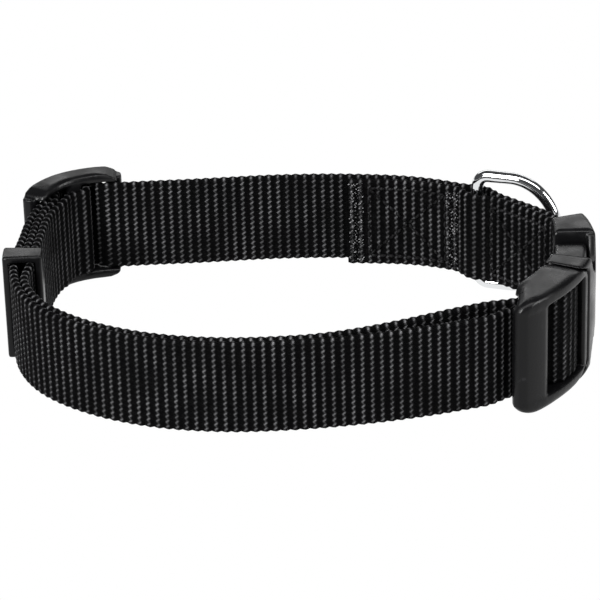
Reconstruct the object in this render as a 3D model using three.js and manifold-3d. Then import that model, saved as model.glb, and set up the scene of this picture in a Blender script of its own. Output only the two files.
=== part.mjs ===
// An adjustable dog collar of flat woven strap, closed into its whole loop and standing on edge.
// Millimetres, +Z up. The front of the loop faces -Y, the buckle is at +X and the slider at -X.
// Each place on the collar is given as along (the way round the loop, counter-clockwise from the
// near end of the buckle), out (away from the middle of the strap's outer layer) and a height.

import * as THREE from 'three';
import { mergeVertices } from 'three/addons/utils/BufferGeometryUtils.js';
import Module from 'manifold-3d';

const wasm = await Module();
wasm.setup();

// Loop, measured on the middle of the strap's outer layer
const LOOP_WIDTH = 146.4;
const LOOP_DEPTH = 97.6;

// Strap
const STRAP_WIDTH = 25.4;
const STRAP_THICKNESS = 1.9;
const LAYER_GAP = 0.3;
const TAIL_DROP = 0.5;
const TAIL_LENGTH = 38;
const SLACK_LENGTH = 58;
const SLACK_DEPTH = 5.2;

// Fits between the strap and what it runs through
const BAR_CLEARANCE = 0.4;
const SIDE_CLEARANCE = 0.3;
const HALVES_CLEARANCE = 0.3;

// Side-release buckle
const BUCKLE_HEIGHT = 32.6;
const BUCKLE_LENGTH = 53;
const BUCKLE_THICKNESS = 11;
const BUCKLE_OUTER_FACE = 4.8;
const BUCKLE_EDGE = 1.3;
const END_BAR_LENGTH = 7.1;
const END_BAR_OVERHANG = 3;
const END_BAR_ROUND = 2.3;
const END_BAR_PRESS = 1.6;
const END_SLANT = 6.5;
const WINDOW_LENGTH = 16.2;
const SEAM_REACH = 26;
const SEAM_ARCH = 6.4;
const MALE_BAR_LENGTH = 4.5;
const MALE_BAR_OUT = 0.3;
const BAR_THICKNESS = 2.5;
const BAR_ROOT = 0.8;
const END_CORNER = 4.5;
const PLATE = 2.2;
const MOUTH_RING_LENGTH = 8.6;
const SIDE_NOTCH_DEPTH = 8;
const SHOULDER_LENGTH = 11;
const SHOULDER_WALL = 1.9;
const SHOULDER_TAPER = 0.8;
const FEMALE_BAR_LENGTH = 4;
const ARM_THICKNESS = 4;
const ARM_ROOT = 1;
const PAD_GAP = 1.2;

// Ring for the lead
const RING_WIRE = 3.3;
const RING_HEIGHT = 35.2;
const RING_DISTANCE = 33.2;
const RING_DEPTH = 25.6;
const RING_LEG = 9;
const RING_CORNER = 3;
const RING_LEAN = 20;
const POCKET_LENGTH = 7;

// Slider with three bars
const SLIDER_LENGTH = 28.2;
const SLIDER_PLACE = 0.4935;
const SLIDER_RAIL = 2.9;
const SLIDER_END_BAR = 4.6;
const SLIDER_BAR = 4.4;
const SLIDER_BAR_SHIFT = 1.4;
const SLIDER_BAR_OUT = 0;
const SLIDER_OUTER_FACE = 5.4;
const SLIDER_CORNER = 6;

// Keeper loop
const KEEPER_PLACE = 0.6083;
const KEEPER_LENGTH = 6.6;
const KEEPER_WALL = 1.7;
const KEEPER_FIT = 0.3;

// Steps
const STRAP_STEP = 3;
const BODY_STEP = 3.2;
const WRAP_STEPS = 9;
const CORNER_STEPS = 2;
const EDGE_STEPS = 2;
const WIRE_SIDES = 10;
const BOW_STEPS = 14;
const BEND_STEPS = 4;

// Smallest rounding of an upright edge, and how far a cross piece lies inside the faces of its rails
const CORNER = 0.6;
const CORNER_LEAST = 0.15;
const SUNK = 0.2;

// What follows from the sizes above
const LAYER = STRAP_THICKNESS + LAYER_GAP;
const FLOOR_TO_MIDDLE = BUCKLE_HEIGHT / 2;
const STRAP_BOTTOM = FLOOR_TO_MIDDLE - STRAP_WIDTH / 2;
const OPENING_TOP = FLOOR_TO_MIDDLE + STRAP_WIDTH / 2 + SIDE_CLEARANCE;
const OPENING_BOTTOM = 2 * FLOOR_TO_MIDDLE - OPENING_TOP;
const UNDER_A_BAR = STRAP_THICKNESS / 2 + BAR_CLEARANCE;
const WRAP_RADIUS = BAR_THICKNESS / 2 + UNDER_A_BAR;
const BUCKLE_INNER_FACE = BUCKLE_OUTER_FACE - BUCKLE_THICKNESS;

// The loop seen from above, as shares of half its width and half its depth
const LOOP_STATIONS = [
  { side: 0.764, fore: -0.721 },
  { side: 0.866, fore: -0.568 },
  { side: 0.945, fore: -0.381 },
  { side: 0.994, fore: -0.176 },
  { side: 1.008, fore: 0.025 },
  { side: 0.996, fore: 0.225 },
  { side: 0.937, fore: 0.4 },
  { side: 0.818, fore: 0.585 },
  { side: 0.67, fore: 0.775 },
  { side: 0.47, fore: 0.915 },
  { side: 0.234, fore: 0.98 },
  { side: -0.04, fore: 1.0 },
  { side: -0.367, fore: 0.975 },
  { side: -0.627, fore: 0.959 },
  { side: -0.742, fore: 0.945 },
  { side: -0.85, fore: 0.872 },
  { side: -0.924, fore: 0.726 },
  { side: -0.96, fore: 0.556 },
  { side: -0.98, fore: 0.318 },
  { side: -1.0, fore: 0.01 },
  { side: -0.976, fore: -0.28 },
  { side: -0.893, fore: -0.533 },
  { side: -0.736, fore: -0.752 },
  { side: -0.515, fore: -0.917 },
  { side: -0.258, fore: -0.995 },
  { side: 0.015, fore: -0.992 },
  { side: 0.288, fore: -0.938 },
  { side: 0.534, fore: -0.85 },
];

const LOOP = new THREE.CatmullRomCurve3(
  LOOP_STATIONS.map(({ side, fore }) => new THREE.Vector3(side * LOOP_WIDTH / 2, fore * LOOP_DEPTH / 2, 0)),
  true,
  'centripetal',
);
LOOP.arcLengthDivisions = 2400;
const LOOP_LENGTH = LOOP.getLength();

// Where the hardware sits along the loop
const SLIDER_MIDDLE = SLIDER_PLACE * LOOP_LENGTH;
const KEEPER_MIDDLE = KEEPER_PLACE * LOOP_LENGTH;
const SHOULDER_START = BUCKLE_LENGTH - SHOULDER_LENGTH;
const FEMALE_BAR = {
  along: SHOULDER_START + SHOULDER_WALL + BAR_CLEARANCE + STRAP_THICKNESS / 2 + WRAP_RADIUS,
  out: -LAYER / 2,
};
const MALE_BAR = {
  along: END_BAR_LENGTH + WINDOW_LENGTH - BAR_CLEARANCE - STRAP_THICKNESS / 2 - WRAP_RADIUS,
  out: MALE_BAR_OUT,
};
const RING_BAR = { along: BUCKLE_LENGTH + RING_DISTANCE, out: -LAYER / 2 - BAR_CLEARANCE };
const SLIDER_BAR_PLACE = { along: SLIDER_MIDDLE - SLIDER_BAR_SHIFT, out: SLIDER_BAR_OUT };

// Turns a place on the collar into a point of the plan
function place(along, out) {
  const share = THREE.MathUtils.euclideanModulo(along / LOOP_LENGTH, 1);
  const point = LOOP.getPointAt(share);
  const way = LOOP.getTangentAt(share);
  return new THREE.Vector2(point.x + way.y * out, point.y - way.x * out);
}

function smoothly(t) {
  return t * t * (3 - 2 * t);
}

// A run of strap through rows of along and out, eased from row to row
function run(rows) {
  const points = [];
  for (let i = 0; i < rows.length - 1; i += 1) {
    const [from, to] = [rows[i], rows[i + 1]];
    const steps = Math.max(1, Math.round(Math.abs(to.along - from.along) / STRAP_STEP));
    for (let k = i === 0 ? 0 : 1; k <= steps; k += 1) {
      const t = k / steps;
      const along = THREE.MathUtils.lerp(from.along, to.along, t);
      points.push(place(along, THREE.MathUtils.lerp(from.out, to.out, smoothly(t))));
    }
  }
  return points;
}

// Half a turn of strap round a bar, from one side of it to the other
function wrap(bar, radius, startSide, endwards) {
  const points = [];
  for (let k = 1; k < WRAP_STEPS; k += 1) {
    const angle = Math.PI * k / WRAP_STEPS;
    const along = bar.along + endwards * radius * Math.sin(angle);
    points.push(place(along, bar.out + startSide * radius * Math.cos(angle)));
  }
  return points;
}

// A body from its own lists of points and triangles
function indexed(positions, index) {
  const geometry = new THREE.BufferGeometry();
  geometry.setAttribute('position', new THREE.Float32BufferAttribute(positions, 3));
  geometry.setIndex(index);
  return geometry;
}

// A closed body through rings of plan points, each ring at its own height
function loft(levels) {
  const count = levels[0].ring.length;
  const positions = levels.flatMap(({ z, ring }) => ring.flatMap((p) => [p.x, p.y, z]));
  const top = (levels.length - 1) * count;
  const under = THREE.ShapeUtils.triangulateShape(levels[0].ring, []);
  const over = THREE.ShapeUtils.triangulateShape(levels.at(-1).ring, []);
  const index = [
    ...under.flatMap(([a, b, c]) => [a, c, b]),
    ...over.flatMap(([a, b, c]) => [top + a, top + b, top + c]),
  ];
  for (let level = 0; level < levels.length - 1; level += 1) {
    for (let k = 0; k < count; k += 1) {
      const a = level * count + k;
      const b = level * count + (k + 1) % count;
      index.push(a, b, b + count, a, b + count, a + count);
    }
  }
  return indexed(positions, index);
}

// One ring of a bent block: a rectangle of along and out with round corners, whose start may slant
function bentRing({ start, end, slant, inner, outer, innerEnd, outerEnd, corner, inset, steps }) {
  const round = Math.max(corner - inset, CORNER_LEAST);
  const back = inset + round;
  const corners = [
    { along: start + back, out: outer - back, turn: Math.PI },
    { along: end - back, out: outerEnd - back, turn: Math.PI / 2 },
    { along: end - back, out: innerEnd + back, turn: 0 },
    { along: start + slant + back, out: inner + back, turn: -Math.PI / 2 },
  ];
  return corners.flatMap((here, i) => {
    const points = [];
    for (let k = 0; k <= CORNER_STEPS; k += 1) {
      const angle = here.turn - Math.PI / 2 * k / CORNER_STEPS;
      points.push(place(here.along + round * Math.cos(angle), here.out + round * Math.sin(angle)));
    }
    const next = corners[(i + 1) % corners.length];
    const isLongSide = i % 2 === 0;
    const reach = i === 0 ? round : -round;
    for (let k = 1; isLongSide && k < steps; k += 1) {
      const along = THREE.MathUtils.lerp(here.along, next.along, k / steps);
      points.push(place(along, THREE.MathUtils.lerp(here.out, next.out, k / steps) + reach));
    }
    return points;
  });
}

// A block bent along the loop, whose ends may follow the height and whose flat faces may have round edges
function block({
  start, end, slant = 0, inner, outer, innerEnd = inner, outerEnd = outer, bottom, top,
  corner = CORNER, edgeBelow = 0, edgeAbove = 0, slices = 1,
}) {
  const startAt = typeof start === 'function' ? start : () => start;
  const endAt = typeof end === 'function' ? end : () => end;
  const middle = (bottom + top) / 2;
  const steps = Math.max(1, Math.ceil(Math.abs(endAt(middle) - startAt(middle)) / BODY_STEP));
  const rows = [];
  for (let k = 0; edgeBelow > 0 && k < EDGE_STEPS; k += 1) {
    const angle = Math.PI / 2 * k / EDGE_STEPS;
    rows.push({ z: bottom + edgeBelow * (1 - Math.cos(angle)), inset: edgeBelow * (1 - Math.sin(angle)) });
  }
  for (let k = 0; k <= slices; k += 1) {
    rows.push({ z: THREE.MathUtils.lerp(bottom + edgeBelow, top - edgeAbove, k / slices), inset: 0 });
  }
  for (let k = EDGE_STEPS - 1; edgeAbove > 0 && k >= 0; k -= 1) {
    const angle = Math.PI / 2 * k / EDGE_STEPS;
    rows.push({ z: top - edgeAbove * (1 - Math.cos(angle)), inset: edgeAbove * (1 - Math.sin(angle)) });
  }
  return loft(rows.map(({ z, inset }) => ({
    z,
    ring: bentRing({ start: startAt(z), end: endAt(z), slant, inner, outer, innerEnd, outerEnd, corner, inset, steps }),
  })));
}

// How far a corner of a given radius in the side view steps back at a height, below a top or above a bottom
function cornerBack(radius, distance) {
  const lack = Math.max(0, radius - distance);
  return radius - Math.sqrt(radius * radius - lack * lack);
}

function solidOf(geometry) {
  const bare = geometry.clone();
  bare.deleteAttribute('normal');
  bare.deleteAttribute('uv');
  const merged = mergeVertices(bare, 1e-5);
  return new wasm.Manifold(new wasm.Mesh({
    numProp: 3,
    vertProperties: new Float32Array(merged.attributes.position.array),
    triVerts: new Uint32Array(merged.index.array),
  }));
}

function join(...geometries) {
  return geometries.map(solidOf).reduce((whole, next) => whole.add(next));
}

function geometryOf(solid) {
  const { vertProperties, triVerts } = solid.getMesh();
  const geometry = new THREE.BufferGeometry();
  geometry.setAttribute('position', new THREE.BufferAttribute(new Float32Array(vertProperties), 3));
  geometry.setIndex(new THREE.BufferAttribute(new Uint32Array(triVerts), 1));
  geometry.computeVertexNormals();
  return geometry;
}

function piece(name, geometry, material) {
  const mesh = new THREE.Mesh(geometry, material);
  mesh.name = name;
  return mesh;
}

const WEBBING = new THREE.MeshStandardMaterial({ color: 0x161617, roughness: 0.85, metalness: 0 });
const PLASTIC = new THREE.MeshStandardMaterial({ color: 0x1b1b1d, roughness: 0.35, metalness: 0 });
const CHROME = new THREE.MeshStandardMaterial({ color: 0xd4d6d9, roughness: 0.12, metalness: 1 });

// The strap: one length of webbing from its stitched tail to its short end in the slider
function webbing() {
  const ringFar = RING_BAR.along + POCKET_LENGTH;
  const ringNear = RING_BAR.along - POCKET_LENGTH;
  const ringLift = RING_WIRE / 2 + UNDER_A_BAR;
  const tailEnd = RING_BAR.along + TAIL_LENGTH;
  const halfSlider = SLIDER_LENGTH / 2;
  const wholeLoop = LOOP_LENGTH;
  const sliderUnder = SLIDER_BAR_PLACE.out - WRAP_RADIUS;
  const sliderOver = SLIDER_BAR_PLACE.out + WRAP_RADIUS;
  const pastSliderBar = SLIDER_BAR_PLACE.along + SLIDER_BAR - BAR_THICKNESS / 2;
  const pastFemaleBar = FEMALE_BAR.along + FEMALE_BAR_LENGTH - BAR_THICKNESS / 2;
  const maleIn = MALE_BAR.out - WRAP_RADIUS;
  const backToSlack = wholeLoop - SLACK_LENGTH;

  const tail = run([
    { along: tailEnd, out: -LAYER },
    { along: ringFar, out: -LAYER },
    { along: RING_BAR.along, out: RING_BAR.out - ringLift },
    { along: ringNear, out: -LAYER },
    { along: pastFemaleBar + POCKET_LENGTH, out: -LAYER },
    { along: pastFemaleBar, out: FEMALE_BAR.out - WRAP_RADIUS },
    { along: FEMALE_BAR.along, out: FEMALE_BAR.out - WRAP_RADIUS },
  ]);
  const outerLayer = run([
    { along: FEMALE_BAR.along, out: FEMALE_BAR.out + WRAP_RADIUS },
    { along: pastFemaleBar, out: FEMALE_BAR.out + WRAP_RADIUS },
    { along: pastFemaleBar + POCKET_LENGTH, out: 0 },
    { along: ringNear, out: 0 },
    { along: RING_BAR.along, out: RING_BAR.out + ringLift },
    { along: ringFar, out: 0 },
    { along: SLIDER_MIDDLE - halfSlider + SLIDER_END_BAR, out: 0 },
    { along: SLIDER_BAR_PLACE.along - SLIDER_BAR / 2, out: sliderOver + LAYER },
    { along: pastSliderBar, out: sliderOver + LAYER },
    { along: SLIDER_MIDDLE + halfSlider - SLIDER_END_BAR, out: 0 },
    { along: wholeLoop - END_BAR_OVERHANG - POCKET_LENGTH, out: 0 },
    { along: wholeLoop - END_BAR_OVERHANG / 2, out: -END_BAR_PRESS },
    { along: wholeLoop + END_BAR_LENGTH, out: -END_BAR_PRESS },
    { along: wholeLoop + MALE_BAR.along - MALE_BAR_LENGTH, out: MALE_BAR.out + WRAP_RADIUS },
    { along: wholeLoop + MALE_BAR.along, out: MALE_BAR.out + WRAP_RADIUS },
  ]);
  const innerLayer = run([
    { along: wholeLoop + MALE_BAR.along, out: maleIn },
    { along: wholeLoop + MALE_BAR.along - MALE_BAR_LENGTH, out: maleIn },
    { along: wholeLoop - END_BAR_LENGTH, out: -LAYER - SLACK_DEPTH },
    { along: backToSlack, out: -LAYER },
    { along: KEEPER_MIDDLE + 2 * KEEPER_LENGTH, out: -LAYER },
    { along: KEEPER_MIDDLE, out: -2 * LAYER },
    { along: SLIDER_MIDDLE + halfSlider - SLIDER_END_BAR, out: -2 * LAYER },
    { along: pastSliderBar, out: sliderUnder },
    { along: SLIDER_BAR_PLACE.along, out: sliderUnder },
  ]);
  const shortEnd = run([
    { along: SLIDER_BAR_PLACE.along, out: sliderOver },
    { along: pastSliderBar, out: sliderOver },
    { along: SLIDER_MIDDLE + halfSlider - SLIDER_END_BAR, out: -LAYER },
    { along: KEEPER_MIDDLE, out: -LAYER },
  ]);
  const line = [
    ...tail,
    ...wrap(FEMALE_BAR, WRAP_RADIUS, -1, -1),
    ...outerLayer,
    ...wrap(MALE_BAR, WRAP_RADIUS, 1, 1),
    ...innerLayer,
    ...wrap(SLIDER_BAR_PLACE, WRAP_RADIUS, -1, -1),
    ...shortEnd,
  ];
  const stitchedCount = Math.round((TAIL_LENGTH - POCKET_LENGTH) / STRAP_STEP);
  return strapBody(line, stitchedCount);
}

// A flat strap standing on edge along a line of plan points, whose first points run out a little lower
function strapBody(line, lowCount) {
  const positions = [];
  line.forEach((point, i) => {
    const before = line[Math.max(0, i - 1)];
    const after = line[Math.min(line.length - 1, i + 1)];
    const way = after.clone().sub(before).normalize();
    const left = new THREE.Vector2(-way.y, way.x).multiplyScalar(STRAP_THICKNESS / 2);
    const low = STRAP_BOTTOM - TAIL_DROP * smoothly(Math.max(0, 1 - i / lowCount));
    const high = low + STRAP_WIDTH;
    positions.push(point.x + left.x, point.y + left.y, low, point.x + left.x, point.y + left.y, high);
    positions.push(point.x - left.x, point.y - left.y, high, point.x - left.x, point.y - left.y, low);
  });
  const last = (line.length - 1) * 4;
  const index = [0, 3, 2, 0, 2, 1, last, last + 1, last + 2, last, last + 2, last + 3];
  for (let i = 0; i < line.length - 1; i += 1) {
    for (let side = 0; side < 4; side += 1) {
      const a = i * 4 + side;
      const b = i * 4 + (side + 1) % 4;
      index.push(a, b, b + 4, a, b + 4, a + 4);
    }
  }
  return indexed(positions, index);
}

// Where the two halves of the buckle meet: straight across the strap, and swept back at each rail
function seamAt(z) {
  const past = Math.abs(z - FLOOR_TO_MIDDLE) - STRAP_WIDTH / 2;
  const share = Math.max(0, past) / (FLOOR_TO_MIDDLE - STRAP_WIDTH / 2);
  return SEAM_REACH - SEAM_ARCH * share ** 2;
}

// The notch in each side of the buckle where the arms are pinched: its near and its far edge
const NOTCH_NEAR = SEAM_REACH - SEAM_ARCH + MOUTH_RING_LENGTH;
const NOTCH_MIDDLE = (NOTCH_NEAR + SHOULDER_START) / 2;

function notchDepth(z) {
  return Math.min(1, (Math.abs(z - FLOOR_TO_MIDDLE) - FLOOR_TO_MIDDLE + SIDE_NOTCH_DEPTH) / SIDE_NOTCH_DEPTH);
}

function notchNear(z) {
  return THREE.MathUtils.lerp(NOTCH_MIDDLE, NOTCH_NEAR, Math.sqrt(Math.max(0, notchDepth(z))));
}

function notchFar(z) {
  return THREE.MathUtils.lerp(NOTCH_MIDDLE, SHOULDER_START, Math.sqrt(Math.max(0, notchDepth(z))));
}

// The two copies of a block that lies above and below mid-height
function pair(options) {
  const { bottom, top, edgeBelow = 0, edgeAbove = 0, start, end } = options;
  const turned = (at) => (typeof at === 'function' ? (z) => at(BUCKLE_HEIGHT - z) : at);
  return [
    block(options),
    block({
      ...options,
      bottom: BUCKLE_HEIGHT - top,
      top: BUCKLE_HEIGHT - bottom,
      edgeBelow: edgeAbove,
      edgeAbove: edgeBelow,
      start: turned(start),
      end: turned(end),
    }),
  ];
}

// The half with the arms: a fat end bar, two rails, the bar that the strap turns round, and two arms
function buckleMale() {
  const whole = { inner: BUCKLE_INNER_FACE, outer: BUCKLE_OUTER_FACE };
  const endBack = (z) => cornerBack(END_CORNER, Math.min(z, BUCKLE_HEIGHT - z)) - END_BAR_OVERHANG;
  const wallStart = END_BAR_LENGTH + WINDOW_LENGTH;
  const armInner = BUCKLE_INNER_FACE + PLATE + HALVES_CLEARANCE;
  const armOuter = BUCKLE_OUTER_FACE - PLATE - HALVES_CLEARANCE;
  const padTop = BUCKLE_HEIGHT - PLATE - HALVES_CLEARANCE;
  const padStart = NOTCH_NEAR + HALVES_CLEARANCE;
  const notchBottom = BUCKLE_HEIGHT - SIDE_NOTCH_DEPTH;
  const armBottom = notchBottom - ARM_THICKNESS / 2;
  return join(
    ...pair({
      ...whole, start: endBack, end: seamAt, slant: END_SLANT, bottom: OPENING_TOP, top: BUCKLE_HEIGHT,
      corner: END_BAR_ROUND, edgeAbove: BUCKLE_EDGE, slices: 3,
    }),
    block({
      start: SUNK - END_BAR_OVERHANG, end: END_BAR_LENGTH,
      inner: UNDER_A_BAR - END_BAR_PRESS, outer: BUCKLE_OUTER_FACE - SUNK,
      bottom: OPENING_BOTTOM - BAR_ROOT, top: OPENING_TOP + BAR_ROOT, corner: END_BAR_ROUND,
    }),
    block({
      start: MALE_BAR.along - MALE_BAR_LENGTH, end: MALE_BAR.along + BAR_THICKNESS / 2,
      inner: MALE_BAR.out - BAR_THICKNESS / 2, outer: MALE_BAR.out + BAR_THICKNESS / 2,
      bottom: OPENING_BOTTOM - BAR_ROOT, top: OPENING_TOP + BAR_ROOT, corner: BAR_THICKNESS / 2.1,
    }),
    block({
      start: wallStart, end: seamAt, inner: BUCKLE_INNER_FACE + SUNK, outer: BUCKLE_OUTER_FACE - SUNK,
      bottom: OPENING_BOTTOM - BAR_ROOT, top: OPENING_TOP + BAR_ROOT, corner: CORNER / 2, slices: 8,
    }),
    ...pair({
      start: wallStart + ARM_ROOT, end: SHOULDER_START - HALVES_CLEARANCE, inner: armInner, outer: armOuter,
      bottom: armBottom, top: armBottom + ARM_THICKNESS,
    }),
    ...pair({
      start: padStart, end: SHOULDER_START - HALVES_CLEARANCE, inner: armInner, outer: armOuter,
      bottom: armBottom + ARM_THICKNESS / 2, top: notchBottom + 2 * HALVES_CLEARANCE,
    }),
    ...pair({
      start: padStart, end: SHOULDER_START - PAD_GAP, inner: BUCKLE_INNER_FACE, outer: armOuter,
      bottom: notchBottom + HALVES_CLEARANCE, top: padTop, edgeAbove: BUCKLE_EDGE,
    }),
  );
}

// The half that takes the arms: two plates with pinch notches, a ring round the mouth, shoulders and a bar
function buckleFemale() {
  const whole = { inner: BUCKLE_INNER_FACE, outer: BUCKLE_OUTER_FACE };
  const mouth = (z) => seamAt(z) + HALVES_CLEARANCE;
  const notchBottom = BUCKLE_HEIGHT - SIDE_NOTCH_DEPTH;
  const wallEnd = SHOULDER_START + SHOULDER_WALL;
  const plates = [
    { inner: BUCKLE_OUTER_FACE - PLATE, outer: BUCKLE_OUTER_FACE, near: notchNear, far: notchFar },
    { inner: BUCKLE_INNER_FACE, outer: BUCKLE_INNER_FACE + PLATE, near: NOTCH_NEAR, far: SHOULDER_START },
  ];
  const beside = { bottom: notchBottom, top: BUCKLE_HEIGHT - PLATE / 2, slices: 6 };
  return join(
    ...plates.flatMap(({ near, far, ...plate }) => [
      block({ ...plate, start: mouth, end: wallEnd, bottom: SIDE_NOTCH_DEPTH, top: notchBottom, slices: 4 }),
      ...pair({ ...plate, ...beside, start: mouth, end: near }),
      ...pair({ ...plate, ...beside, start: far, end: wallEnd }),
    ]),
    ...pair({
      ...whole, start: mouth, end: notchNear, bottom: BUCKLE_HEIGHT - PLATE, top: BUCKLE_HEIGHT,
      edgeAbove: BUCKLE_EDGE, slices: 2,
    }),
    ...pair({
      ...whole, start: SHOULDER_START, end: BUCKLE_LENGTH, bottom: OPENING_TOP, top: BUCKLE_HEIGHT,
      innerEnd: BUCKLE_INNER_FACE + SHOULDER_TAPER, outerEnd: BUCKLE_OUTER_FACE - SHOULDER_TAPER,
      edgeAbove: BUCKLE_EDGE,
    }),
    block({
      start: SHOULDER_START + SUNK, end: wallEnd, inner: BUCKLE_INNER_FACE + SUNK, outer: BUCKLE_OUTER_FACE - SUNK,
      bottom: OPENING_BOTTOM - BAR_ROOT, top: OPENING_TOP + BAR_ROOT,
    }),
    block({
      start: FEMALE_BAR.along - BAR_THICKNESS / 2, end: FEMALE_BAR.along - BAR_THICKNESS / 2 + FEMALE_BAR_LENGTH,
      inner: FEMALE_BAR.out - BAR_THICKNESS / 2, outer: FEMALE_BAR.out + BAR_THICKNESS / 2,
      bottom: OPENING_BOTTOM - BAR_ROOT, top: OPENING_TOP + BAR_ROOT, corner: BAR_THICKNESS / 2.1,
    }),
  );
}

// The slider: a bowed frame with two end bars outside the strap and a middle bar inside it
function slider() {
  const top = OPENING_TOP + SLIDER_RAIL;
  const bottom = 2 * FLOOR_TO_MIDDLE - top;
  const start = SLIDER_MIDDLE - SLIDER_LENGTH / 2;
  const end = SLIDER_MIDDLE + SLIDER_LENGTH / 2;
  const back = (z) => cornerBack(SLIDER_CORNER, Math.min(z - bottom, top - z));
  const inner = SLIDER_BAR_PLACE.out - BAR_THICKNESS / 2;
  const pastBar = SLIDER_BAR_PLACE.along - BAR_THICKNESS / 2 + SLIDER_BAR;
  const rail = {
    start: (z) => start + back(z), end: (z) => end - back(z), inner, outer: SLIDER_OUTER_FACE,
    edgeAbove: BUCKLE_EDGE, edgeBelow: BUCKLE_EDGE, slices: 2,
  };
  const bar = {
    outer: SLIDER_OUTER_FACE - SUNK, inner: UNDER_A_BAR, corner: BUCKLE_EDGE,
    bottom: OPENING_BOTTOM - BAR_ROOT, top: OPENING_TOP + BAR_ROOT,
  };
  return join(
    block({ ...rail, bottom: OPENING_TOP, top }),
    block({ ...rail, bottom, top: OPENING_BOTTOM }),
    block({ ...bar, start: start + SUNK, end: start + SLIDER_END_BAR }),
    block({ ...bar, start: end - SLIDER_END_BAR, end: end - SUNK }),
    block({
      start: SLIDER_BAR_PLACE.along - BAR_THICKNESS / 2, end: pastBar,
      inner: inner + SUNK / 2, outer: inner + BAR_THICKNESS - SUNK / 2, corner: BAR_THICKNESS / 2.5,
      bottom: OPENING_BOTTOM - BAR_ROOT, top: OPENING_TOP + BAR_ROOT,
    }),
  );
}

// The keeper: a rectangular band round both layers and the strap's short end, which stops inside it
function keeper() {
  const start = KEEPER_MIDDLE - KEEPER_LENGTH / 2;
  const end = KEEPER_MIDDLE + KEEPER_LENGTH / 2;
  const outer = STRAP_THICKNESS / 2 + KEEPER_FIT;
  const inner = -2 * LAYER - STRAP_THICKNESS / 2 - KEEPER_FIT;
  const band = block({
    start, end, inner: inner - KEEPER_WALL, outer: outer + KEEPER_WALL, edgeAbove: KEEPER_WALL / 3,
    edgeBelow: KEEPER_WALL / 3, bottom: OPENING_BOTTOM - KEEPER_WALL, top: OPENING_TOP + KEEPER_WALL,
  });
  const hole = block({
    start: start - KEEPER_LENGTH, end: end + KEEPER_LENGTH, inner, outer, bottom: OPENING_BOTTOM, top: OPENING_TOP,
  });
  return solidOf(band).subtract(solidOf(hole));
}

// The ring: a round wire in the shape of a D, whose straight side lies in the stitched pocket
function leadRing() {
  const half = (RING_HEIGHT - RING_WIRE) / 2;
  const bow = RING_DEPTH - RING_WIRE - RING_LEG;
  const bar = place(RING_BAR.along, RING_BAR.out);
  const ahead = place(RING_BAR.along - STRAP_STEP, RING_BAR.out).sub(bar).angle();
  const heading = ahead + THREE.MathUtils.degToRad(RING_LEAN);
  const curve = [];
  for (let k = 0; k <= BOW_STEPS; k += 1) {
    const angle = -Math.PI / 2 + Math.PI * k / BOW_STEPS;
    curve.push([RING_LEG + bow * Math.cos(angle), half * Math.sin(angle)]);
  }
  for (let k = 0; k <= BEND_STEPS; k += 1) {
    const angle = Math.PI / 2 + Math.PI / 2 * k / BEND_STEPS;
    curve.push([RING_CORNER * (1 + Math.cos(angle)), half - RING_CORNER * (1 - Math.sin(angle))]);
  }
  for (let k = 0; k <= BEND_STEPS; k += 1) {
    const angle = Math.PI + Math.PI / 2 * k / BEND_STEPS;
    curve.push([RING_CORNER * (1 + Math.cos(angle)), -half + RING_CORNER * (1 + Math.sin(angle))]);
  }
  return { geometry: closedWire(curve, bar, heading), bar };
}

// A round wire along a closed curve, drawn counter-clockwise in an upright plane through a point
function closedWire(curve, through, heading) {
  const ahead = new THREE.Vector3(Math.cos(heading), Math.sin(heading), 0);
  const up = new THREE.Vector3(0, 0, 1);
  const side = ahead.clone().cross(up);
  const centre = new THREE.Vector3(through.x, through.y, RING_HEIGHT / 2);
  const positions = [];
  const index = [];
  curve.forEach(([reach, height], i) => {
    const before = curve[(i + curve.length - 1) % curve.length];
    const after = curve[(i + 1) % curve.length];
    const way = new THREE.Vector2(after[0] - before[0], after[1] - before[1]).normalize();
    const out = ahead.clone().multiplyScalar(way.y).addScaledVector(up, -way.x);
    const middle = centre.clone().addScaledVector(ahead, reach).addScaledVector(up, height);
    for (let k = 0; k < WIRE_SIDES; k += 1) {
      const angle = 2 * Math.PI * k / WIRE_SIDES;
      const point = middle.clone()
        .addScaledVector(out, RING_WIRE / 2 * Math.cos(angle))
        .addScaledVector(side, RING_WIRE / 2 * Math.sin(angle));
      positions.push(...point.toArray());
      const a = i * WIRE_SIDES + k;
      const b = i * WIRE_SIDES + (k + 1) % WIRE_SIDES;
      const next = ((i + 1) % curve.length - i) * WIRE_SIDES;
      index.push(a, b + next, b, a, a + next, b + next);
    }
  });
  return indexed(positions, index);
}

const collar = new THREE.Group();
const ring = leadRing();
collar.add(
  piece('webbing', geometryOf(solidOf(webbing())), WEBBING),
  piece('buckle_male', geometryOf(buckleMale()), PLASTIC),
  piece('buckle_female', geometryOf(buckleFemale()), PLASTIC),
  piece('d_ring', geometryOf(solidOf(ring.geometry)), CHROME),
  piece('slider', geometryOf(slider()), PLASTIC),
  piece('keeper', geometryOf(keeper()), PLASTIC),
);

// The origin is on the floor, under the middle of the whole collar
const extent = new THREE.Box3().setFromObject(collar);
const centre = extent.getCenter(new THREE.Vector3());
collar.position.set(-centre.x, -centre.y, -extent.min.z);
collar.updateMatrixWorld(true);

export default collar;
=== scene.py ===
"""An adjustable dog collar of flat black webbing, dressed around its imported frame.

Sizes are in millimetres and become metres where a mesh is made. A place on the collar is given as along (the
way round the loop, counter-clockwise from the near end of the buckle), out (away from the middle of the
strap's outer layer) and a height.
"""

import math

import bpy
import numpy as np
from mathutils import Matrix, Vector


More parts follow.
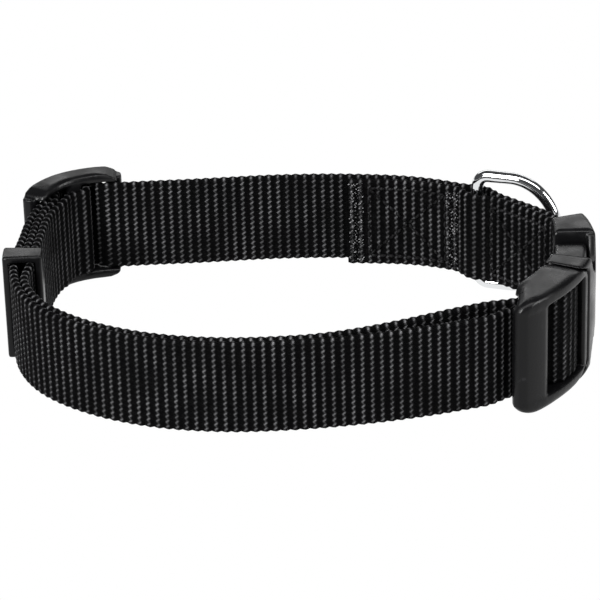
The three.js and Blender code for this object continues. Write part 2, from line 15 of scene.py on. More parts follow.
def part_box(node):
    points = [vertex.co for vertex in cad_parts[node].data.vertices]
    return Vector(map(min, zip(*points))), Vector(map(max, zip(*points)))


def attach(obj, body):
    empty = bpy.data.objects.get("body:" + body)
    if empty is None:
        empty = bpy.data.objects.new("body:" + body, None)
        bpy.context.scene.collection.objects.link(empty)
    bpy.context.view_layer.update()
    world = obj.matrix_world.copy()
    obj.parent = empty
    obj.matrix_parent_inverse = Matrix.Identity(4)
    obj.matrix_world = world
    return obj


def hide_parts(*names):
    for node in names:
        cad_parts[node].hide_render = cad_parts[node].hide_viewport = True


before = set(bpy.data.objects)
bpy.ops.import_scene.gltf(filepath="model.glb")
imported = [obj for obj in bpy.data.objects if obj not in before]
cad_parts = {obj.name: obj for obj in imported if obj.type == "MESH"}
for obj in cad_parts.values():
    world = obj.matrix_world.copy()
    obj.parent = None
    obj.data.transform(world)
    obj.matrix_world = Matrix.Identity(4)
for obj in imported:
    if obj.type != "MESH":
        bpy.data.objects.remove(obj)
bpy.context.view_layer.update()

MM = 0.001
MERGE_DISTANCE = 1e-6

# The loop, seen from above: the middle of the strap's outer layer, as shares of half its width and depth
LOOP_WIDTH = 146.4
LOOP_DEPTH = 97.6
STATION_STEPS = 120
LOOP_STATIONS = (
    (0.764, -0.721), (0.866, -0.568), (0.945, -0.381), (0.994, -0.176), (1.008, 0.025), (0.996, 0.225),
    (0.937, 0.4), (0.818, 0.585), (0.67, 0.775), (0.47, 0.915), (0.234, 0.98), (-0.04, 1.0),
    (-0.367, 0.975), (-0.627, 0.959), (-0.742, 0.945), (-0.85, 0.872), (-0.924, 0.726), (-0.96, 0.556),
    (-0.98, 0.318), (-1.0, 0.01), (-0.976, -0.28), (-0.893, -0.533), (-0.736, -0.752), (-0.515, -0.917),
    (-0.258, -0.995), (0.015, -0.992), (0.288, -0.938), (0.534, -0.85),
)

# Strap
STRAP_WIDTH = 25.4
STRAP_THICKNESS = 1.9
LAYER_GAP = 0.3
LAYER = STRAP_THICKNESS + LAYER_GAP
TAIL_DROP = 0.5
TAIL_LENGTH = 38
SLACK_LENGTH = 58
SLACK_DEPTH = 5.2
BAR_CLEARANCE = 0.4
UNDER_A_BAR = STRAP_THICKNESS / 2 + BAR_CLEARANCE
BAR_THICKNESS = 2.5
WRAP_RADIUS = BAR_THICKNESS / 2 + UNDER_A_BAR

# Buckle
BUCKLE_HEIGHT = 32.6
BUCKLE_LENGTH = 53
MIDDLE = BUCKLE_HEIGHT / 2
END_BAR_LENGTH = 7.1
END_BAR_OVERHANG = 3
END_BAR_PRESS = 1.6
WINDOW_LENGTH = 16.2
MALE_BAR_LENGTH = 4.5
MALE_BAR_OUT = 0.3
SHOULDER_LENGTH = 11
SHOULDER_WALL = 1.9
FEMALE_BAR_LENGTH = 4

# Ring
RING_WIRE = 3.3
RING_HEIGHT = 35.2
RING_DISTANCE = 33.2
RING_DEPTH = 25.6
RING_LEG = 9
RING_CORNER = 3
RING_LEAN = 20
RING_SECTIONS = 160
RING_SIDES = 32
RING_BOW_STEPS = 64
RING_CORNER_STEPS = 12
RING_HEADING_REACH = 3
POCKET_LENGTH = 7

# Slider and keeper
SLIDER_LENGTH = 28.2
SLIDER_PLACE = 0.4935
SLIDER_END_BAR = 4.6
SLIDER_BAR = 4.4
SLIDER_BAR_SHIFT = 1.4
SLIDER_BAR_OUT = 0
KEEPER_PLACE = 0.6083
KEEPER_LENGTH = 6.6

# Weave: ribs across the strap, whose crests wander to and fro. Each column of a rib has its place in
# the pitch, its rise and its share of the sway
RIB_PITCH = 2.46
CREST_PERIOD = 1.5
CREST_SWAY = 0.5
RIB_RISE = 0.34
RIB_COLUMNS = ((0.0, 0.0, 0.0), (0.27, 0.62, 0.35), (0.5, 1.0, 1.0), (0.73, 0.62, 0.35))
ROWS_PER_PERIOD = 4
EDGE_ROUND = 0.86
EDGE_ROWS = 4
STRAP_PIECES = 3
LOOK_AHEAD = 0.6

# Sewing
THREAD = 0.44
TACK_THREAD = 0.15
TACK_STITCH = 0.62
TACK_WIDTH = 3.8
TACK_ROW = 0.58
TACK_PITCH = 1.05
STITCH_PITCH = 2.5
STITCH_LENGTH = 2.1
STITCH_SIDES = 6
THREAD_STAND = 0.24
SEAM_MARGIN = 2.6
THREAD_PROFILE = (0.35, 0.85, 1.0, 0.85, 0.35)
CROSS_PAST_BUCKLE = 7
CROSS_INTO_POCKET = 1
CROSS_PAST_RING = 2.5
CROSS_BEFORE_TAIL = 6
TACK_MARGIN = 1
TACK_SCATTER = 0.3
TACK_ANGLES = (0.2, 1.3)
TACK_BEFORE_TAIL = 2.4
TACK_PAST_RING = 0.2

# Moulded plastic
VOXEL = 0.3


# The loop and the strap's way round it


def loop_table():
    """Points, unit directions and distances along the closed centripetal curve through the stations."""
    stations = np.array(LOOP_STATIONS) * (LOOP_WIDTH / 2, LOOP_DEPTH / 2)
    points = []
    steps = np.linspace(0, 1, STATION_STEPS, endpoint=False)[:, None]
    for i in range(len(stations)):
        before, start, end, after = (stations[(i + k) % len(stations)] for k in (-1, 0, 1, 2))
        gaps = [np.linalg.norm(b - a) ** 0.5 for a, b in ((before, start), (start, end), (end, after))]
        leave = (start - before) / gaps[0] - (end - before) / (gaps[0] + gaps[1]) + (end - start) / gaps[1]
        arrive = (end - start) / gaps[1] - (after - start) / (gaps[1] + gaps[2]) + (after - end) / gaps[2]
        leave, arrive = leave * gaps[1], arrive * gaps[1]
        cubic = 2 * start - 2 * end + leave + arrive
        square = -3 * start + 3 * end - 2 * leave - arrive
        points.append(start + leave * steps + square * steps ** 2 + cubic * steps ** 3)
    points = np.vstack([*points, points[0][:1]])
    chords = np.diff(points, axis=0)
    distance = np.concatenate([[0], np.cumsum(np.linalg.norm(chords, axis=1))])
    ways = np.vstack([chords, chords[:1]]) + np.vstack([chords[-1:], chords])
    return points, ways / np.linalg.norm(ways, axis=1)[:, None], distance


LOOP_POINTS, LOOP_WAYS, LOOP_DISTANCE = loop_table()
LOOP_LENGTH = LOOP_DISTANCE[-1]
KEEPER_MIDDLE = KEEPER_PLACE * LOOP_LENGTH
SLIDER_MIDDLE = SLIDER_PLACE * LOOP_LENGTH
SLIDER_BAR_AT = (SLIDER_MIDDLE - SLIDER_BAR_SHIFT, SLIDER_BAR_OUT)
FEMALE_BAR_AT = (
    BUCKLE_LENGTH - SHOULDER_LENGTH + SHOULDER_WALL + BAR_CLEARANCE + STRAP_THICKNESS / 2 + WRAP_RADIUS,
    -LAYER / 2,
)
MALE_BAR_AT = (
    END_BAR_LENGTH + WINDOW_LENGTH - BAR_CLEARANCE - STRAP_THICKNESS / 2 - WRAP_RADIUS,
    MALE_BAR_OUT,
)
RING_BAR_AT = (BUCKLE_LENGTH + RING_DISTANCE, -LAYER / 2 - BAR_CLEARANCE)
RING_FAR = RING_BAR_AT[0] + POCKET_LENGTH
RING_NEAR = RING_BAR_AT[0] - POCKET_LENGTH
TAIL_END = RING_BAR_AT[0] + TAIL_LENGTH


def on_loop(along, out):
    """Plan points of the loop at distances along it and outwards from it, before the part is centred."""
    along = np.mod(along, LOOP_LENGTH)
    point, way = (
        np.stack([np.interp(along, LOOP_DISTANCE, table[:, k]) for k in (0, 1)], axis=-1)
        for table in (LOOP_POINTS, LOOP_WAYS)
    )
    way = way / np.linalg.norm(way, axis=-1, keepdims=True)
    return point + np.stack([way[..., 1], -way[..., 0]], axis=-1) * np.asarray(out)[..., None]


def smoothly(t):
    return t * t * (3 - 2 * t)


def run(*rows, step=0.4):
    """Plan points of a run of strap through rows of (along, out), eased from row to row."""
    points = []
    for (along, out), (next_along, next_out) in zip(rows, rows[1:]):
        t = np.linspace(0, 1, max(2, round(abs(next_along - along) / step)), endpoint=False)
        points.append(on_loop(along + (next_along - along) * t, out + (next_out - out) * smoothly(t)))
    return np.vstack([*points, on_loop(np.array([rows[-1][0]]), np.array([rows[-1][1]]))])


def wrap(bar, start_side, endwards, steps=24):
    """Plan points of half a turn of strap round a bar."""
    angle = np.pi * np.arange(1, steps) / steps
    along = bar[0] + endwards * WRAP_RADIUS * np.sin(angle)
    return on_loop(along, bar[1] + start_side * WRAP_RADIUS * np.cos(angle))


def strap_route():
    """The strap's middle line from its stitched tail to its short end, as the frame's strap runs."""
    ring_lift = RING_WIRE / 2 + UNDER_A_BAR
    slider_under = SLIDER_BAR_AT[1] - WRAP_RADIUS
    slider_over = SLIDER_BAR_AT[1] + WRAP_RADIUS
    past_slider_bar = SLIDER_BAR_AT[0] + SLIDER_BAR - BAR_THICKNESS / 2
    past_female_bar = FEMALE_BAR_AT[0] + FEMALE_BAR_LENGTH - BAR_THICKNESS / 2
    male_in = MALE_BAR_AT[1] - WRAP_RADIUS
    male_bar = LOOP_LENGTH + MALE_BAR_AT[0]
    slider_end = SLIDER_MIDDLE + SLIDER_LENGTH / 2 - SLIDER_END_BAR
    tail = run(
        (TAIL_END, -LAYER), (RING_FAR, -LAYER), (RING_BAR_AT[0], RING_BAR_AT[1] - ring_lift),
        (RING_NEAR, -LAYER), (past_female_bar + POCKET_LENGTH, -LAYER),
        (past_female_bar, FEMALE_BAR_AT[1] - WRAP_RADIUS), (FEMALE_BAR_AT[0], FEMALE_BAR_AT[1] - WRAP_RADIUS),
    )
    outer_layer = run(
        (FEMALE_BAR_AT[0], FEMALE_BAR_AT[1] + WRAP_RADIUS), (past_female_bar, FEMALE_BAR_AT[1] + WRAP_RADIUS),
        (past_female_bar + POCKET_LENGTH, 0), (RING_NEAR, 0), (RING_BAR_AT[0], RING_BAR_AT[1] + ring_lift),
        (RING_FAR, 0), (SLIDER_MIDDLE - SLIDER_LENGTH / 2 + SLIDER_END_BAR, 0),
        (SLIDER_BAR_AT[0] - SLIDER_BAR / 2, slider_over + LAYER), (past_slider_bar, slider_over + LAYER),
        (slider_end, 0), (LOOP_LENGTH - END_BAR_OVERHANG - POCKET_LENGTH, 0),
        (LOOP_LENGTH - END_BAR_OVERHANG / 2, -END_BAR_PRESS), (LOOP_LENGTH + END_BAR_LENGTH, -END_BAR_PRESS),
        (male_bar - MALE_BAR_LENGTH, MALE_BAR_AT[1] + WRAP_RADIUS), (male_bar, MALE_BAR_AT[1] + WRAP_RADIUS),
    )
    inner_layer = run(
        (male_bar, male_in), (male_bar - MALE_BAR_LENGTH, male_in),
        (LOOP_LENGTH - END_BAR_LENGTH, -LAYER - SLACK_DEPTH), (LOOP_LENGTH - SLACK_LENGTH, -LAYER),
        (KEEPER_MIDDLE + 2 * KEEPER_LENGTH, -LAYER), (KEEPER_MIDDLE, -2 * LAYER), (slider_end, -2 * LAYER),
        (past_slider_bar, slider_under), (SLIDER_BAR_AT[0], slider_under),
    )
    short_end = run(
        (SLIDER_BAR_AT[0], slider_over), (past_slider_bar, slider_over), (slider_end, -LAYER),
        (KEEPER_MIDDLE, -LAYER),
    )
    return np.vstack([
        tail, wrap(FEMALE_BAR_AT, -1, -1), outer_layer, wrap(MALE_BAR_AT, 1, 1), inner_layer,
        wrap(SLIDER_BAR_AT, -1, -1), short_end,
    ])


def centring(route):
    """How far the frame moved the loop to put its own middle over the origin, read from its strap's box."""
    way = np.gradient(route, axis=0)
    way /= np.linalg.norm(way, axis=1)[:, None]
    reach = np.abs(way[:, ::-1]) * STRAP_THICKNESS / 2
    low, high = (np.array(corner)[:2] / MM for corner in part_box("webbing"))
    return (low + high - (route - reach).min(axis=0) - (route + reach).max(axis=0)) / 2


# Objects


def select_none():
    bpy.ops.object.select_all(action="DESELECT")


def select_only(obj):
    select_none()
    obj.select_set(True)
    bpy.context.view_layer.objects.active = obj


def finish_piece(obj, material, body, slot, *nodes):
    obj.data.materials.clear()
    obj.data.materials.append(material)
    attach(obj, body)
    if nodes:
        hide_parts(*nodes)


def tube_grid(name, columns, rows):
    """A flat grid with a point for each place of a tube, which roll() bends and joins."""
    select_none()
    bpy.ops.mesh.primitive_grid_add(x_subdivisions=columns - 1, y_subdivisions=rows, size=1)
    obj = bpy.context.object
    obj.name = obj.data.name = name
    return obj


def roll(obj, shape, uv=None, capped=False):
    """Moves a grid's points to shape[column][row], joins its long sides and closes its ends if asked."""
    mesh = obj.data
    columns, rows = shape.shape[:2]
    closed = np.concatenate([shape, shape[:, :1]], axis=1)
    places = np.transpose(closed, (1, 0, 2)).reshape(-1, 3) * MM
    mesh.vertices.foreach_set("co", places.ravel())
    if uv is not None:
        loops = np.empty(len(mesh.loops), dtype=np.int32)
        mesh.loops.foreach_get("vertex_index", loops)
        flat = np.transpose(uv, (1, 0, 2)).reshape(-1, 2)
        mesh.uv_layers[0].data.foreach_set("uv", flat[loops].ravel())
    select_only(obj)
    bpy.ops.object.mode_set(mode="EDIT")
    bpy.ops.mesh.select_mode(type="EDGE")
    bpy.ops.mesh.select_all(action="SELECT")
    bpy.ops.mesh.remove_doubles(threshold=MERGE_DISTANCE)
    if capped:
        bpy.ops.mesh.select_all(action="DESELECT")
        bpy.ops.mesh.select_non_manifold()
        bpy.ops.mesh.edge_face_add()
    bpy.ops.mesh.select_all(action="SELECT")
    bpy.ops.mesh.normals_make_consistent(inside=False)
    bpy.ops.object.mode_set(mode="OBJECT")
    bpy.ops.object.shade_smooth()
    return obj


# The webbing


def outline():
    """The strap's section as rows: across, off its middle, and the two parts of the outward direction."""
    flat = STRAP_WIDTH / 2 - EDGE_ROUND
    half = STRAP_THICKNESS / 2
    count = round(2 * flat / (CREST_PERIOD / ROWS_PER_PERIOD))
    rows = []
    for side in (1, -1):
        for across in np.linspace(-flat, flat, count + 1):
            rows.append((side * across, side * half, 0, side))
        for k in range(1, EDGE_ROWS):
            angle = math.pi * k / EDGE_ROWS
            sin, cos = math.sin(angle), math.cos(angle)
            rows.append((side * (flat + EDGE_ROUND * sin), side * half * cos, side * sin, side * cos))
    return np.array(rows)


def sway(distance):
    """A wave from -1 to 1 with straight flanks, of the crests' period."""
    return 2 * np.abs(2 * np.mod(distance / CREST_PERIOD, 1) - 1) - 1


def strap_frames(route, distances):
    """Plan points, leftward directions and heights of the lower edge at distances along the strap."""
    chords = np.diff(route, axis=0)
    travelled = np.concatenate([[0], np.cumsum(np.linalg.norm(chords, axis=1))])
    points = np.stack([np.interp(distances, travelled, route[:, k]) for k in (0, 1)], axis=-1)
    ahead, behind = (
        np.stack([np.interp(distances + d, travelled, route[:, k]) for k in (0, 1)], axis=-1)
        for d in (LOOK_AHEAD, -LOOK_AHEAD)
    )
    ways = ahead - behind
    ways /= np.linalg.norm(ways, axis=1)[:, None]
    left = np.stack([-ways[:, 1], ways[:, 0]], axis=-1)
    drop = TAIL_DROP * smoothly(np.clip(1 - distances / (TAIL_LENGTH - POCKET_LENGTH), 0, 1))
    return points, left, drop


def strap_length(route):
    return np.linalg.norm(np.diff(route, axis=0), axis=1).sum()


def strap_piece(name, route, first_rib, last_rib):
    """A stretch of webbing between two ribs, each rib with a valley, two flanks and a swaying crest."""
    section = outline()
    girth = np.concatenate([[0], np.cumsum(np.linalg.norm(np.diff(section[:, :2], axis=0), axis=1))])
    phases = sway(girth)
    columns = [(rib + at, rise, lean) for rib in range(first_rib, last_rib) for at, rise, lean in RIB_COLUMNS]
    columns.append((float(last_rib), 0.0, 0.0))
    at, rise, lean = (np.array(values) for values in zip(*columns))
    length = strap_length(route)
    distances = at[:, None] * RIB_PITCH + CREST_SWAY * lean[:, None] * phases[None, :]
    distances = np.clip(distances, 0, length)
    shape = np.empty((len(at), len(section), 3))
    for row, (across, off, edgeways, outward) in enumerate(section):
        points, left, drop = strap_frames(route, distances[:, row])
        stand = off + outward * RIB_RISE * (rise - 0.5)
        shape[:, row, :2] = points + left * stand[:, None]
        shape[:, row, 2] = MIDDLE + across - drop + edgeways * RIB_RISE * (rise - 0.5)
    # UVs in ribs and crest periods, which place the weave's bump and its painted crest highlight
    pattern = np.empty((len(at), len(section) + 1, 2))
    pattern[..., 0] = at[:, None]
    pattern[..., 1] = np.append(girth, girth[-1] + CREST_PERIOD / ROWS_PER_PERIOD)[None, :] / CREST_PERIOD
    obj = tube_grid(name, len(at), len(section))
    return roll(obj, shape, pattern, capped=True)


# The ring


def ring_line():
    """The ring's wire as plan points and heights, counter-clockwise in the ring's own plane."""
    half = (RING_HEIGHT - RING_WIRE) / 2
    bow = RING_DEPTH - RING_WIRE - RING_LEG
    corners = []
    turn = np.linspace(-np.pi / 2, np.pi / 2, RING_BOW_STEPS)
    corners.append(np.stack([RING_LEG + bow * np.cos(turn), half * np.sin(turn)], axis=-1))
    for start, height in ((np.pi / 2, half - RING_CORNER), (np.pi, RING_CORNER - half)):
        turn = np.linspace(start, start + np.pi / 2, RING_CORNER_STEPS)
        inwards = RING_CORNER * (1 + np.cos(turn))
        corners.append(np.stack([inwards, height + RING_CORNER * np.sin(turn)], axis=-1))
    flat = np.vstack([*corners, corners[0][:1]])
    travelled = np.concatenate([[0], np.cumsum(np.linalg.norm(np.diff(flat, axis=0), axis=1))])
    even = np.linspace(0, travelled[-1], RING_SECTIONS, endpoint=False)
    reach, height = (np.interp(even, travelled, flat[:, k]) for k in (0, 1))
    bar = on_loop(np.array(RING_BAR_AT[0]), np.array(RING_BAR_AT[1]))
    ahead = on_loop(np.array(RING_BAR_AT[0] - RING_HEADING_REACH), np.array(RING_BAR_AT[1])) - bar
    heading = math.atan2(ahead[1], ahead[0]) + math.radians(RING_LEAN)
    along = np.array([math.cos(heading), math.sin(heading)])
    return np.column_stack([bar + reach[:, None] * along, RING_HEIGHT / 2 + height])


def d_ring(centre):
    line = ring_line() + (*centre, 0)
    way = np.roll(line, -1, axis=0) - np.roll(line, 1, axis=0)
    way /= np.linalg.norm(way, axis=1)[:, None]
    early, late = line[RING_SECTIONS // 16], line[RING_SECTIONS // 4]
    plane = np.cross(early - line[0], late - line[0])
    plane /= np.linalg.norm(plane)
    outward = np.cross(way, plane)
    turn = np.linspace(0, 2 * np.pi, RING_SIDES, endpoint=False)
    shape = line[:, None] + RING_WIRE / 2 * (
        np.cos(turn)[None, :, None] * outward[:, None] + np.sin(turn)[None, :, None] * plane[None, None]
    )
    obj = tube_grid("ring_wire", RING_SECTIONS + 1, RING_SIDES)
    return roll(obj, np.vstack([shape, shape[:1]]))


# Moulded plastic


def moulded(name, node, passes):
    """A copy of a frame node with the soft edges of a moulding."""
    select_none()
    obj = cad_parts[node].copy()
    obj.data = obj.data.copy()
    obj.name = obj.data.name = name
    obj.parent = None
    bpy.context.scene.collection.objects.link(obj)
    select_only(obj)
    bpy.ops.object.mode_set(mode="EDIT")
    bpy.ops.mesh.select_all(action="SELECT")
    bpy.ops.mesh.remove_doubles(threshold=MERGE_DISTANCE)
    bpy.ops.object.mode_set(mode="OBJECT")
    remesh = obj.modifiers.new("skin", "REMESH")
    remesh.mode = "VOXEL"
    remesh.voxel_size = VOXEL * MM
    remesh.use_smooth_shade = True
    soften = obj.modifiers.new("soften", "SMOOTH")
    soften.factor = 0.5
    soften.iterations = passes
    for modifier in (remesh, soften):
        bpy.ops.object.modifier_apply(modifier=modifier.name)
    bpy.ops.object.shade_smooth()
    return obj


# Sewing


def stitch_mesh(obj, lines, facing, centre, radius_of_thread, stitch):
    """Short threads along lines of (along, across) on one face of the strap.

    facing is how far out that face lies, and 1 or -1 for the way it looks.
    """
    rings = len(THREAD_PROFILE)
    profile = np.array(THREAD_PROFILE)
    turn = np.linspace(0, 2 * np.pi, STITCH_SIDES, endpoint=False)
    threads = []
    for start, end in lines:
        start, end = np.array(start, float), np.array(end, float)
        length = np.linalg.norm(end - start)
        count = max(1, round(length / STITCH_PITCH))
        step = (end - start) / count
        for k in range(count):
            t = (k + 0.5) + np.linspace(-0.5, 0.5, rings) * stitch / np.linalg.norm(step)
            threads.append(start + t[:, None] * step)
    verts, faces = [], []
    for thread in threads:
        base = len(verts)
        out = facing[0] + facing[1] * (THREAD_STAND + (profile - 1) * radius_of_thread * 0.9)
        plan = on_loop(thread[:, 0], out) + centre
        outer = on_loop(thread[:, 0], out + 1) + centre - plan
        middle = np.column_stack([plan, MIDDLE + thread[:, 1]])
        up = np.column_stack([outer, np.zeros(rings)])
        way = np.gradient(middle, axis=0)
        way /= np.linalg.norm(way, axis=1)[:, None]
        side = np.cross(way, up)
        for ring in range(rings):
            radius = radius_of_thread * profile[ring]
            for angle in turn:
                spoke = math.cos(angle) * up[ring] + math.sin(angle) * side[ring]
                verts.append((middle[ring] + radius * spoke) * MM)
        for ring in range(rings - 1):
            for k in range(STITCH_SIDES):
                a, b = base + ring * STITCH_SIDES + k, base + ring * STITCH_SIDES + (k + 1) % STITCH_SIDES
                faces.append((a, b, b + STITCH_SIDES, a + STITCH_SIDES))
        faces.append(tuple(base + k for k in reversed(range(STITCH_SIDES))))
        faces.append(tuple(base + (rings - 1) * STITCH_SIDES + k for k in range(STITCH_SIDES)))
    obj.data.clear_geometry()
    obj.data.from_pydata(verts, [], faces)


def box_and_cross(start, end):
    """A sewn rectangle with a cross in it, between two places along the strap."""
    half = STRAP_WIDTH / 2 - SEAM_MARGIN
    corners = ((start, -half), (end, -half), (end, half), (start, half))
    sides = list(zip(corners, corners[1:] + corners[:1]))
    return sides + [(corners[0], corners[2]), (corners[1], corners[3])]


def bar_tack(place):
    """A band of short scattered stitches from edge to edge of the strap."""
    half = STRAP_WIDTH / 2 - TACK_MARGIN
    scatter = np.random.default_rng(5)
    stitches = []
    for row, along in enumerate(np.arange(-TACK_WIDTH / 2, TACK_WIDTH / 2 + 0.01, TACK_ROW)):
        for across in np.arange(-half + TACK_PITCH * (row % 2) / 2, half, TACK_PITCH):
            middle = np.array([place + along, across]) + scatter.uniform(-TACK_SCATTER, TACK_SCATTER, 2)
            angle = scatter.uniform(*TACK_ANGLES) * (1 if row % 2 else -1)
            reach = TACK_STITCH / 2 * np.array([math.cos(angle), math.sin(angle)])
            stitches.append((middle - reach, middle + reach))
    return stitches


def crosses():
    near = box_and_cross(BUCKLE_LENGTH + CROSS_PAST_BUCKLE, RING_NEAR + CROSS_INTO_POCKET)
    return near + box_and_cross(RING_FAR + CROSS_PAST_RING, TAIL_END - CROSS_BEFORE_TAIL)


def tacks():
    return bar_tack(TAIL_END - TACK_BEFORE_TAIL) + bar_tack(RING_FAR + TACK_PAST_RING)


def sewing(name, lines, facing, centre, thread, stitch):
    """One face's stitches as one object, made from a short cylinder of thread."""
    select_none()
    bpy.ops.mesh.primitive_cylinder_add(vertices=STITCH_SIDES, radius=thread * MM, depth=stitch * MM)
    obj = bpy.context.object
    obj.name = obj.data.name = name
    stitch_mesh(obj, lines, facing, centre, thread, stitch)
    select_only(obj)
    bpy.ops.object.shade_smooth()
    return obj


# Materials


class Nodes:
    """Short words for building one material's node tree."""

    def __init__(self, name, color, roughness, metallic=0.0, specular=0.5):
        self.material = bpy.data.materials.new(name)
        self.material.use_nodes = True
        self.tree = self.material.node_tree
        self.shader = self.tree.nodes["Principled BSDF"]
        self.shader.inputs["Base Color"].default_value = (*color, 1)
        self.shader.inputs["Roughness"].default_value = roughness
        self.shader.inputs["Metallic"].default_value = metallic
        self.shader.inputs["Specular IOR Level"].default_value = specular

    def node(self, kind, **values):
        made = self.tree.nodes.new(kind)
        for key, value in values.items():
            setattr(made, key, value)
        return made

    def feed(self, socket, value):
        if isinstance(value, bpy.types.NodeSocket):
            self.tree.links.new(value, socket)
        else:
            socket.default_value = value

    def math(self, operation, *values):
        made = self.node("ShaderNodeMath", operation=operation)
        for socket, value in zip(made.inputs, values):
            self.feed(socket, value)
        return made.outputs[0]

    def ramp(self, value, low, high, start=0.0, end=1.0):
        made = self.node("ShaderNodeMapRange", interpolation_type="SMOOTHSTEP")
        for socket, number in zip(made.inputs, (value, low, high, start, end)):
            self.feed(socket, number)
        return made.outputs[0]

    def mix(self, share, first, second):
        made = self.node("ShaderNodeMix", data_type="RGBA")
        self.feed(made.inputs[0], share)
        self.feed(made.inputs[6], first)
        self.feed(made.inputs[7], second)
        return made.outputs[2]

    def noise(self, where, scale, detail=2.0):
        made = self.node("ShaderNodeTexNoise")
        self.feed(made.inputs["Vector"], where)
        self.feed(made.inputs["Scale"], scale)
        self.feed(made.inputs["Detail"], detail)
        return made.outputs["Fac"]

    def bump(self, height, distance, strength=1.0):
        made = self.node("ShaderNodeBump")
        self.feed(made.inputs["Height"], height)
        self.feed(made.inputs["Distance"], distance)
        self.feed(made.inputs["Strength"], strength)
        self.feed(self.shader.inputs["Normal"], made.outputs[0])

    def objectwise(self):
        return self.node("ShaderNodeTexCoord").outputs["Object"]


def webbing_material():
    """Black nylon: dull ribs, with a painted highlight along a thin crest that wanders to and fro, of twisted
    yarn.
    """
    m = Nodes("webbing_nylon", (0.005, 0.005, 0.005), 0.62, specular=0.03)
    split = m.node("ShaderNodeSeparateXYZ")
    m.feed(split.inputs[0], m.node("ShaderNodeUVMap").outputs[0])
    ribs, rows = split.outputs[0], split.outputs[1]
    wave = m.math("SUBTRACT", m.math("MULTIPLY", m.math("ABSOLUTE", m.math("SUBTRACT", m.math(
        "MULTIPLY", m.math("FRACT", rows), 2.0), 1.0)), 2.0), 1.0)
    from_crest = m.math("SUBTRACT", m.math("FRACT", ribs), 0.5)
    off_line = m.math("ABSOLUTE", from_crest)
    grain = m.noise(m.objectwise(), 900.0, 3.0)
    patch = m.noise(m.objectwise(), 120.0)
    # Painted highlight: a thin bright line along each rib's wandering crest, broken into dashes and patches,
    # stands in for light glancing off the raised yarn
    crest_highlight = m.math("ADD", m.ramp(off_line, 0.13, 0.05, 0.0, 0.78), m.ramp(off_line, 0.26, 0.1, 0.0, 0.22))
    dash = m.ramp(m.math("ABSOLUTE", m.math("SUBTRACT", m.math("FRACT", rows), 0.25)), 0.32, 0.14, 0.3, 1.0)
    painted_highlight = m.math("MULTIPLY", crest_highlight, m.math("MULTIPLY", dash, m.ramp(patch, 0.3, 0.7, 0.35, 1.0)))
    # The near-black colour is the nylon's own; the pale one is the painted crest highlight
    color = m.mix(painted_highlight, (0.0004, 0.0004, 0.0005, 1), (0.12, 0.12, 0.124, 1))
    m.feed(m.shader.inputs["Base Color"], color)
    m.feed(m.shader.inputs["Roughness"], m.ramp(grain, 0.3, 0.75, 0.48, 0.8))
    turns = m.math("ADD", m.math("MULTIPLY", ribs, 2.0), m.math("ABSOLUTE", wave))
    yarn = m.math("SINE", m.math("MULTIPLY", turns, 6.2832))
    threads = m.math("SINE", m.math("MULTIPLY", rows, 2 * math.pi * 4))
    fine = m.math("ADD", m.math("MULTIPLY", threads, 0.3), grain)
    height = m.math("ADD", m.math("MULTIPLY", yarn, 0.35), fine)
    m.bump(height, 0.00012, 0.8)
    return m.material


def thread_material(name, dull, bright):
    """Twisted black nylon thread, flecked at random from its dull tone to its bright one; where the bright
    tone is pale, the flecks are painted glints.
    """
    m = Nodes(name, dull, 0.5, specular=0.12)
    where = m.objectwise()
    twist = m.node("ShaderNodeTexWave", wave_type="BANDS", bands_direction="DIAGONAL")
    m.feed(twist.inputs["Vector"], where)
    m.feed(twist.inputs["Scale"], 700.0)
    m.bump(twist.outputs["Fac"], 0.0001, 0.6)
    # Random flecks: a faint change of tone on the stitching, painted glints where the bright tone is pale
    fibre_tone_and_glint = m.ramp(m.noise(where, 900.0), 0.47, 0.62)
    m.feed(m.shader.inputs["Base Color"], m.mix(fibre_tone_and_glint, (*dull, 1), (*bright, 1)))
    return m.material


def plastic_material():
    """Moulded black plastic with a satin skin, faint mottling and worn, paler scuffs."""
    m = Nodes("moulded_plastic", (0.006, 0.006, 0.006), 0.3, specular=0.19)
    where = m.objectwise()
    m.feed(m.shader.inputs["Roughness"], m.ramp(m.noise(where, 160.0, 3.0), 0.3, 0.75, 0.24, 0.4))
    scuffs = m.ramp(m.noise(where, 420.0, 6.0), 0.62, 0.8)
    m.feed(m.shader.inputs["Base Color"], m.mix(scuffs, (0.003, 0.003, 0.0033, 1), (0.012, 0.012, 0.013, 1)))
    m.bump(m.noise(where, 1500.0, 4.0), 0.00006, 0.35)
    return m.material


def chrome_material():
    m = Nodes("ring_chrome", (0.78, 0.79, 0.8), 0.12, metallic=1.0)
    where = m.objectwise()
    m.feed(m.shader.inputs["Roughness"], m.ramp(m.noise(where, 260.0, 4.0), 0.35, 0.75, 0.06, 0.11))
    return m.material


# Building


route = strap_route()
CENTRE = centring(route)
route += CENTRE
nylon, plastic, chrome = webbing_material(), plastic_material(), chrome_material()
thread = thread_material("thread_nylon", (0.001, 0.001, 0.0012), (0.006, 0.006, 0.0065))
# The end bands' pale bright tone paints glints of light on the black thread
tack_thread = thread_material("end_band_nylon", (0.002, 0.002, 0.0025), (0.24, 0.24, 0.245))

rib_count = int(strap_length(route) / RIB_PITCH)
cuts = [round(rib_count * k / STRAP_PIECES) for k in range(STRAP_PIECES + 1)]
for number, (first, last) in enumerate(zip(cuts, cuts[1:]), start=1):
    piece = strap_piece(f"strap_length_{number}", route, first, last)
    finish_piece(piece, nylon, "collar", "webbing", "webbing")

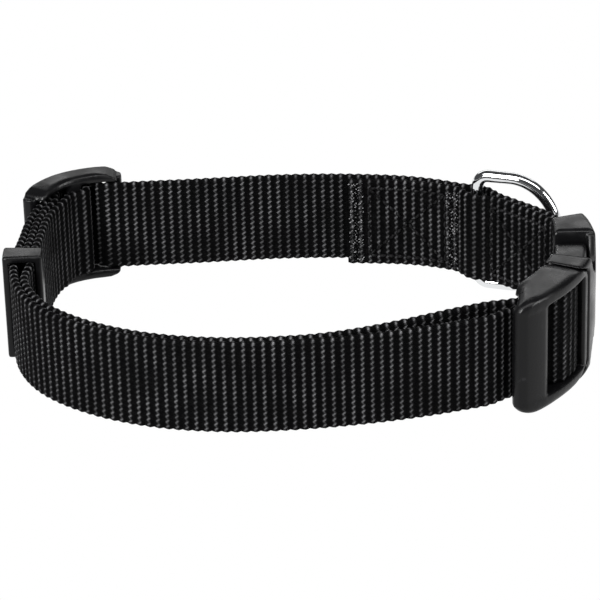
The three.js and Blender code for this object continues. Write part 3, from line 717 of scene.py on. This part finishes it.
inner_face = -LAYER - STRAP_THICKNESS / 2
outer_face = STRAP_THICKNESS / 2
for side, facing in (("inside", (inner_face, -1)), ("outside", (outer_face, 1))):
    cross = sewing(f"sewing_{side}", crosses(), facing, CENTRE, THREAD, STITCH_LENGTH)
    tack = sewing(f"end_bands_{side}", tacks(), facing, CENTRE, TACK_THREAD, TACK_STITCH)
    finish_piece(cross, thread, "collar", "webbing")
    finish_piece(tack, tack_thread, "collar", "webbing")

finish_piece(d_ring(CENTRE), chrome, "ring", "chrome", "d_ring")
for name, node, passes in (
    ("buckle_arm_half", "buckle_male", 20),
    ("buckle_socket_half", "buckle_female", 9),
    ("slider_frame", "slider", 9),
    ("keeper_band", "keeper", 3),
):
    finish_piece(moulded(name, node, passes), plastic, "collar", "plastic", node)


# Studio

FLOOR_DROP = 0.0002
LIGHTS_AIM = (0, 0, 0.016)


def floor():
    select_none()
    bpy.ops.mesh.primitive_plane_add(size=30, location=(0, 0, -FLOOR_DROP))
    obj = bpy.context.object
    obj.name = "floor"
    material = bpy.data.materials.new("pale_floor")
    material.use_nodes = True
    shader = material.node_tree.nodes["Principled BSDF"]
    shader.inputs["Base Color"].default_value = (0.0, 0.0, 0.0, 1)
    shader.inputs["Specular IOR Level"].default_value = 0.0
    shader.inputs["Roughness"].default_value = 1.0
    shader.inputs["Emission Color"].default_value = (1, 1, 1, 1)
    shader.inputs["Emission Strength"].default_value = 1.0
    obj.data.materials.append(material)
    obj.visible_diffuse = False


def soft_light(name, place, aim, size, power):
    data = bpy.data.lights.new(name, "AREA")
    data.shape = "RECTANGLE"
    data.size, data.size_y = size
    data.energy = power
    obj = bpy.data.objects.new(name, data)
    obj.location = place
    obj.rotation_euler = (Vector(aim) - Vector(place)).to_track_quat("-Z", "Y").to_euler()
    bpy.context.scene.collection.objects.link(obj)


CAMERA_TARGET = (-0.1224, -3.613, 16.55)
CAMERA_DISTANCE = 893
CAMERA_ELEVATION = 27
CAMERA_ROLL = 1.6
CAMERA_LENS = 204.84


def camera():
    tilt, roll_by = math.radians(CAMERA_ELEVATION), math.radians(CAMERA_ROLL)
    forward = Vector((0, math.cos(tilt), -math.sin(tilt)))
    across = Vector((1, 0, 0))
    up = across.cross(forward)
    right = math.cos(roll_by) * across - math.sin(roll_by) * up
    over = math.cos(roll_by) * up + math.sin(roll_by) * across
    data = bpy.data.cameras.new("camera")
    data.lens = CAMERA_LENS
    data.sensor_width = 36
    obj = bpy.data.objects.new("camera", data)
    turn = Matrix((right, over, -forward)).transposed().to_4x4()
    place = (Vector(CAMERA_TARGET) - forward * CAMERA_DISTANCE) * MM
    obj.matrix_world = Matrix.Translation(place) @ turn
    bpy.context.scene.collection.objects.link(obj)
    bpy.context.scene.camera = obj


floor()
soft_light("overhead", (0.0, -0.3, 0.8), LIGHTS_AIM, (1.5, 0.22), 8)
soft_light("key", (-0.5, -0.75, 0.55), LIGHTS_AIM, (0.5, 0.4), 17)
soft_light("side", (0.85, -0.25, 0.35), LIGHTS_AIM, (0.4, 0.5), 6)
soft_light("rear", (0.0, 1.2, 0.55), LIGHTS_AIM, (1.6, 0.3), 4)
camera()
world = bpy.data.worlds.new("studio")
world.use_nodes = True
world.node_tree.nodes["Background"].inputs[0].default_value = (0.95, 0.97, 1.0, 1)
world.node_tree.nodes["Background"].inputs[1].default_value = 0.07
bpy.context.scene.world = world
bpy.context.scene.view_settings.view_transform = "Standard"
